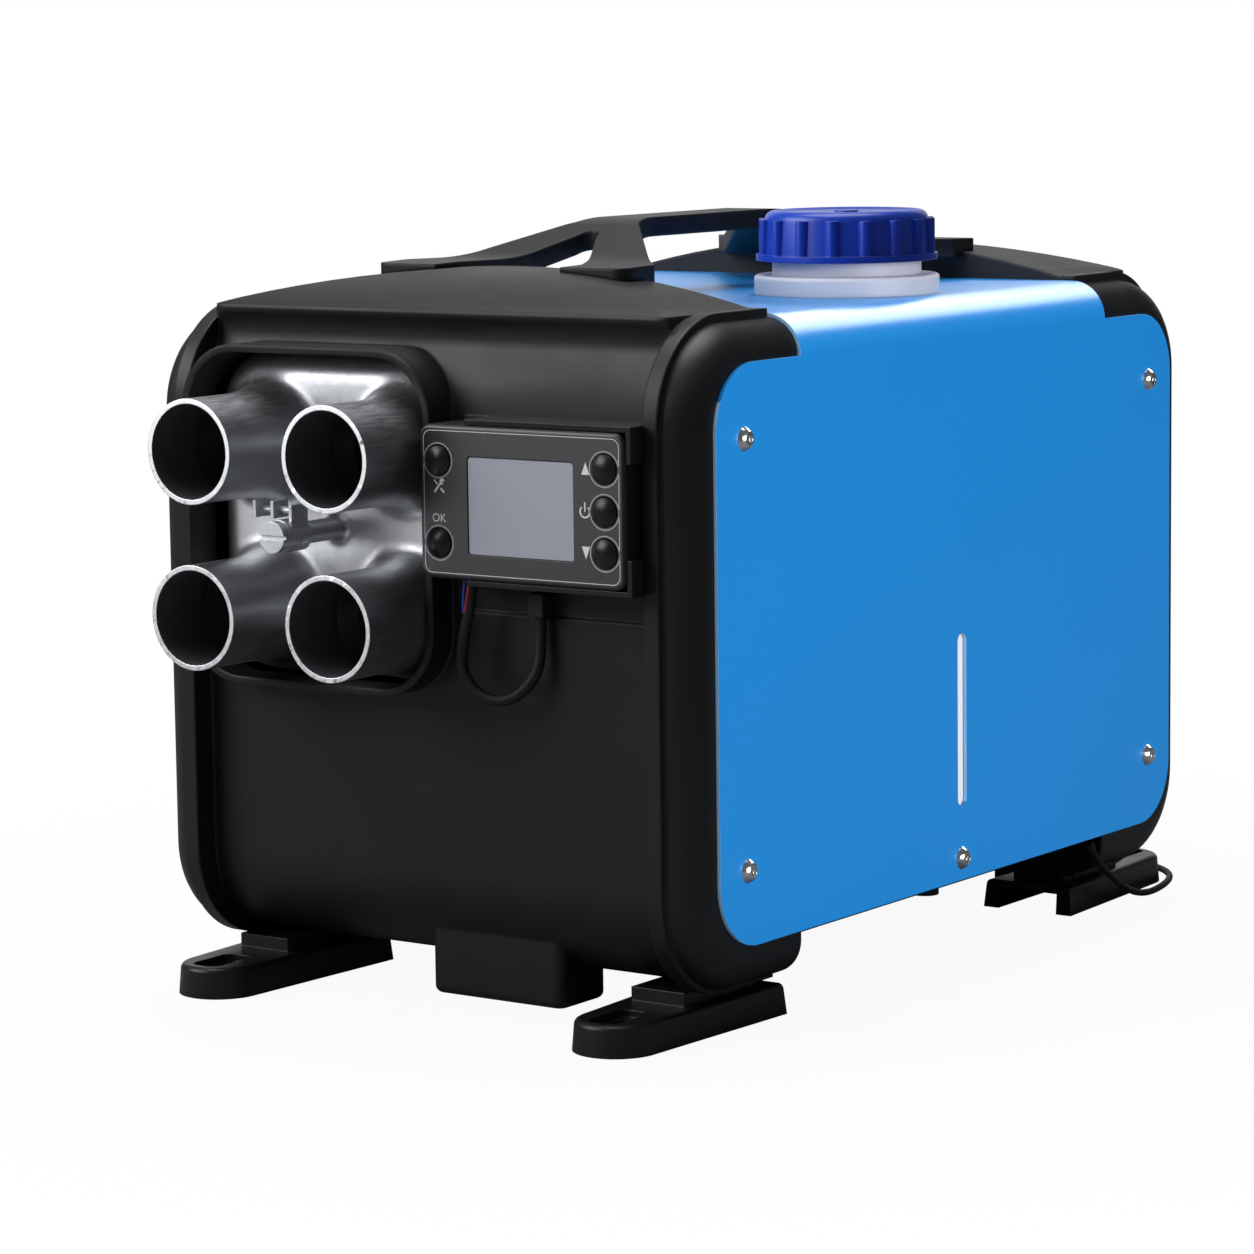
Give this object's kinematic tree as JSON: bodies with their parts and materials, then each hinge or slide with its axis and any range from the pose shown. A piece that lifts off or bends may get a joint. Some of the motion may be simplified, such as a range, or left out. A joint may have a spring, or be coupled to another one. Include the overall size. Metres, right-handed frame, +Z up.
{
  "type": "parking_heater",
  "caption": "Portable diesel parking heater in a carry case with a blue wrap shell, black end covers, clustered warm air outlets, a clip-on controller, a filler cap and a carry handle",
  "frame": {"origin": "centre of the bounding box at floor level", "axes": "+X to the right along the front with the controller, front faces -Y, +Z up"},
  "size_m": [0.2732, 0.4687, 0.3125],
  "materials": {
    "blue_paint": "gloss powder coat",
    "black_moulding": "fine satin grain",
    "cap_blue": "smooth moulded",
    "tank_white": "translucent satin",
    "cast_aluminium": "satin as cast with bright cut rims",
    "zinc_steel": "zinc plated",
    "bright_steel": "bright",
    "pan_steel": "satin",
    "black_rubber": "matt",
    "screen_grey": "grey display behind a clear face",
    "key_black": "smooth dome",
    "board_green": "coated board"
  },
  "bodies": {
    "housing": {"front_cover": "black_moulding", "rear_cover": "black_moulding", "side_shell": "blue_paint", "base_pan": "pan_steel", "foot_front_left": "black_moulding", "foot_front_right": "black_moulding", "foot_rear_left": "black_moulding", "foot_rear_right": "black_moulding", "foot_screws": "zinc_steel", "handle_screws": "zinc_steel", "shell_bolts": "bright_steel", "carry_handle": "black_moulding", "fuel_tank": "tank_white", "neck_collar": "tank_white", "drain_plug": "black_moulding", "outlet_manifold": "cast_aluminium", "clamp_band": "zinc_steel", "clamp_screw": "zinc_steel", "clamp_nut": "zinc_steel", "heater_case_lower": "cast_aluminium", "heater_case_upper": "black_moulding", "heat_exchanger": "cast_aluminium", "combustion_chamber": "zinc_steel", "glow_plug": "zinc_steel", "blower_motor": "zinc_steel", "control_board": "board_green", "overheat_sensor": "black_moulding", "exhaust_pipe": "zinc_steel", "intake_pipe": "black_moulding", "heater_gasket": "black_rubber", "heater_stand": "zinc_steel", "intake_collar": "black_moulding", "fuel_pump": "zinc_steel", "pump_mount": "black_rubber", "fuel_hose_feed": "black_rubber", "fuel_hose_burner": "black_rubber", "controller_bracket": "black_moulding", "controller_case": "black_moulding", "controller_board": "board_green", "controller_bezel": "black_moulding", "controller_display": "screen_grey", "cable_connector": "black_moulding", "controller_cable": "black_rubber", "power_coil": "black_rubber", "power_lead": "black_rubber", "lead_gland": "black_rubber", "lead_tie": "black_moulding", "power_plug": "black_moulding"},
    "fan": {"air_fan": "black_moulding", "motor_shaft": "bright_steel", "combustion_wheel": "cast_aluminium"},
    "cap_lift": {"cap_seal": "black_rubber"},
    "cap": {"filler_cap": "cap_blue"},
    "button_set": {"button_set": "key_black"},
    "button_ok": {"button_ok": "key_black"},
    "button_up": {"button_up": "key_black"},
    "button_power": {"button_power": "key_black"},
    "button_down": {"button_down": "key_black"}
  },
  "joints": [
    {"name": "fan_spin", "type": "hinge", "parent": "housing", "child": "fan", "pos_m": [-0.04565, 0.1, 0.192], "axis": [0, 1, 0], "continuous": true},
    {"name": "cap_rise", "type": "slide", "parent": "housing", "child": "cap_lift", "axis": [0, 0, 1], "range_m": [0, 0.006]},
    {"name": "cap_turn", "type": "hinge", "parent": "cap_lift", "child": "cap", "pos_m": [0.075, 0.0065, 0.3], "axis": [0, 0, 1], "range_deg": [0, 360]},
    {"name": "button_set_press", "type": "slide", "parent": "housing", "child": "button_set", "axis": [0, 1, 0], "range_m": [0, 0.001], "stiffness_N_per_m": 300},
    {"name": "button_ok_press", "type": "slide", "parent": "housing", "child": "button_ok", "axis": [0, 1, 0], "range_m": [0, 0.001], "stiffness_N_per_m": 300},
    {"name": "button_up_press", "type": "slide", "parent": "housing", "child": "button_up", "axis": [0, 1, 0], "range_m": [0, 0.001], "stiffness_N_per_m": 300},
    {"name": "button_power_press", "type": "slide", "parent": "housing", "child": "button_power", "axis": [0, 1, 0], "range_m": [0, 0.001], "stiffness_N_per_m": 300},
    {"name": "button_down_press", "type": "slide", "parent": "housing", "child": "button_down", "axis": [0, 1, 0], "range_m": [0, 0.001], "stiffness_N_per_m": 300}
  ],
  "couplings": [
    {"joint": "cap_rise", "follows": "cap_turn", "m_per_rad": 0.00095}
  ]
}
